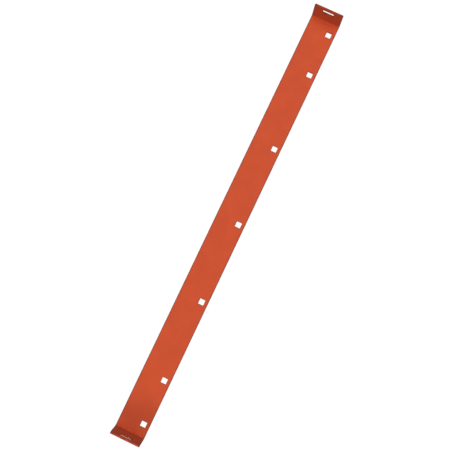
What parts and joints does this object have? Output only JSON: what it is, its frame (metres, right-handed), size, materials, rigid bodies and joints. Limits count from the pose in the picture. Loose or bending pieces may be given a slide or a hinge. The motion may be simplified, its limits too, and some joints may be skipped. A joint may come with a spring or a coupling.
{
  "type": "plow blade wear bar",
  "caption": "Long flat steel wear bar for a small snow plow blade, with a row of square bolt holes near one edge and slotted end flanges bent up from the same strip.",
  "frame": {"origin": "centre of the wear face, midway between the ends and between the long edges", "axes": "+X along the bar, +Y towards the long edge that the square holes are near, +Z from the wear face towards the side that the flanges stand up on"},
  "size_m": [1.268, 0.0842, 0.058],
  "materials": {
    "powder_coat": "satin orange-red powder coat over mild steel"
  },
  "bodies": {
    "root": {"wear_bar": "powder_coat"}
  },
  "joints": []
}
